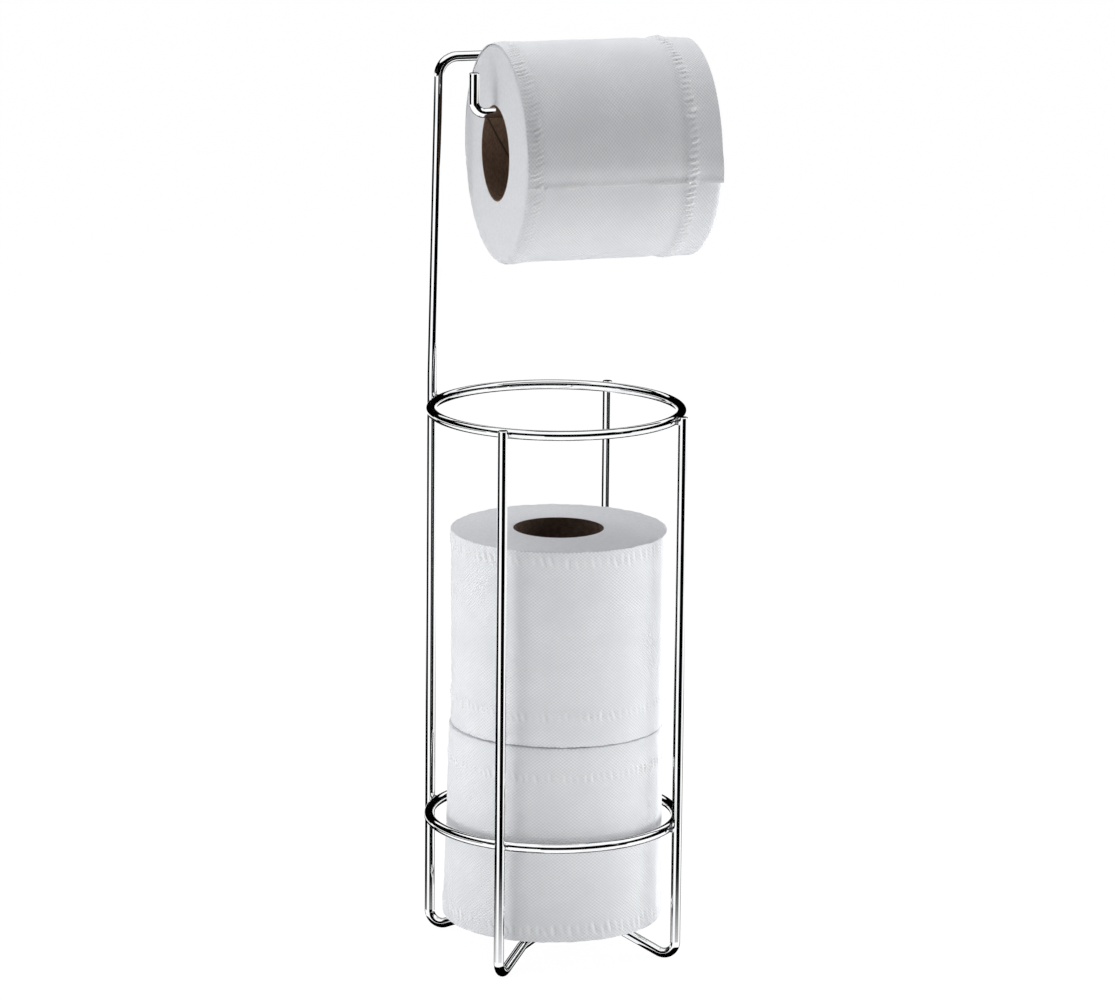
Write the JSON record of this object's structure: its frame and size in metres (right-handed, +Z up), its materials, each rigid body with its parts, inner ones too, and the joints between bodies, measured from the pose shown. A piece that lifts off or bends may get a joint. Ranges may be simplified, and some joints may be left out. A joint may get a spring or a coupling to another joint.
{
  "type": "toilet roll storage holder",
  "caption": "Free-standing toilet roll holder of chromed wire: a round open basket of legs and rings for spare rolls, and a mast with an open hook for the roll in use.",
  "frame": {"origin": "on the floor, on the vertical axis of the basket", "axes": "+Z up; the mast stands on -X, the front leg on -Y, the right leg on +X and the back leg on +Y; the hook runs from the mast at 40 degrees from +X towards +Y"},
  "size_m": [0.1573, 0.1558, 0.4631],
  "materials": {
    "wire": "polished",
    "paper": "matte",
    "core": "matte"
  },
  "bodies": {
    "frame": {"mast_wire": "wire", "cross_wire": "wire", "upper_ring": "wire", "lower_ring": "wire", "upper_ring_welds": "wire", "lower_ring_welds": "wire", "floor_weld": "wire"},
    "hung_roll": {"hung_roll_core": "core", "hung_roll_paper": "paper"},
    "upper_roll": {"upper_roll_core": "core", "upper_roll_paper": "paper"},
    "lower_roll": {"lower_roll_core": "core", "lower_roll_paper": "paper"}
  },
  "joints": [
    {"name": "hung_roll_spin", "type": "hinge", "parent": "frame", "child": "hung_roll", "pos_m": [0.01325, 0.01112, 0.4079], "axis": [0.766, 0.6428, 0], "continuous": true},
    {"name": "lower_roll_lift", "type": "slide", "parent": "frame", "child": "lower_roll", "axis": [0, 0, 1], "range_m": [0, 0.045]},
    {"name": "upper_roll_lift", "type": "slide", "parent": "lower_roll", "child": "upper_roll", "axis": [0, 0, 1], "range_m": [0, 0.085]}
  ]
}
